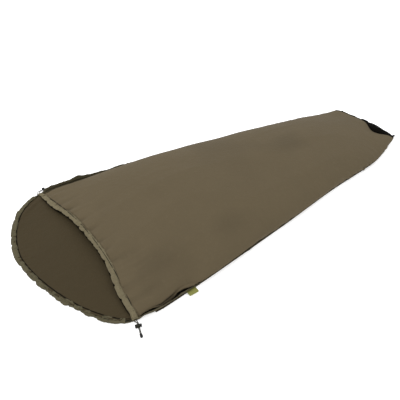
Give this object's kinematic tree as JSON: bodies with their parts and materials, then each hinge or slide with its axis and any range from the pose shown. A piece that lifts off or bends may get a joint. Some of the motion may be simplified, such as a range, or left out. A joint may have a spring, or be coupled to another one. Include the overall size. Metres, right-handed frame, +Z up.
{
  "type": "bivy sack",
  "caption": "Tapered fabric bivouac bag with an open hood, gathered drawcord channels, sprung cord locks and a black boxed foot.",
  "frame": {"origin": "on the floor, at the middle of the underside of the sack's box, cords left out", "axes": "+Z up, +Y from the hood towards the foot, +X towards the sleeper's right side"},
  "size_m": [1.0453, 2.1961, 0.1149],
  "materials": {
    "floor_fabric": "coated woven floor fabric",
    "top_fabric": "matt woven breathable fabric",
    "foot_fabric": "black woven fabric",
    "border_fabric": "folded and stitched fabric",
    "seam_tape": "smooth heat-sealed tape",
    "channel_fabric": "gathered woven fabric",
    "cord_sheath": "braided cord",
    "eyelet_metal": "black oxide",
    "lock_plastic": "moulded",
    "button_plastic": "moulded",
    "spring_steel": "drawn wire",
    "label_tape": "woven tape",
    "care_tape": "satin tape",
    "webbing": "woven webbing"
  },
  "bodies": {
    "sack": {"base_panel": "floor_fabric", "top_panel": "top_fabric", "foot_panel": "foot_fabric", "side_seam_right": "border_fabric", "side_seam_left": "border_fabric", "foot_seam": "foot_fabric", "seam_tape_right": "seam_tape", "seam_tape_left": "seam_tape", "seam_tape_foot": "seam_tape", "mouth_channel": "channel_fabric", "mouth_drawcord": "cord_sheath", "mouth_eyelets": "eyelet_metal", "corner_patch_right": "border_fabric", "corner_patch_left": "border_fabric", "hood_tail_right": "cord_sheath", "mouth_tail_right": "cord_sheath", "hood_tail_left": "cord_sheath", "mouth_tail_left": "cord_sheath", "cord_end_right": "button_plastic", "cord_end_left": "button_plastic", "side_label": "label_tape", "care_label": "care_tape", "foot_loop_right": "webbing", "foot_loop_left": "webbing"},
    "hood": {"hood_panel": "floor_fabric", "hood_channel": "channel_fabric", "hood_drawcord": "cord_sheath", "hood_eyelets": "eyelet_metal"},
    "right_lock": {"lock_barrel_right": "lock_plastic", "lock_spring_right": "spring_steel"},
    "right_plunger": {"lock_plunger_right": "button_plastic"},
    "left_lock": {"lock_barrel_left": "lock_plastic", "lock_spring_left": "spring_steel"},
    "left_plunger": {"lock_plunger_left": "button_plastic"}
  },
  "joints": [
    {"name": "hood_fold", "type": "hinge", "parent": "sack", "child": "hood", "pos_m": [0, -0.86691, 0.0015], "axis": [-0.9991, -0.043, 0], "range_deg": [0, 100]},
    {"name": "right_lock_slide", "type": "slide", "parent": "sack", "child": "right_lock", "axis": [0.9659, -0.2588, 0], "range_m": [0, 0.024]},
    {"name": "right_plunger_press", "type": "slide", "parent": "right_lock", "child": "right_plunger", "axis": [-0.2588, -0.9659, 0], "range_m": [0, 0.003], "stiffness_N_per_m": 150, "springref_m": -0.002, "deforming": ["lock_spring_right"]},
    {"name": "left_lock_slide", "type": "slide", "parent": "sack", "child": "left_lock", "axis": [-0.1219, 0.9925, 0], "range_m": [0, 0.024]},
    {"name": "left_plunger_press", "type": "slide", "parent": "left_lock", "child": "left_plunger", "axis": [0.9925, 0.1219, 0], "range_m": [0, 0.003], "stiffness_N_per_m": 150, "springref_m": -0.002, "deforming": ["lock_spring_left"]}
  ]
}
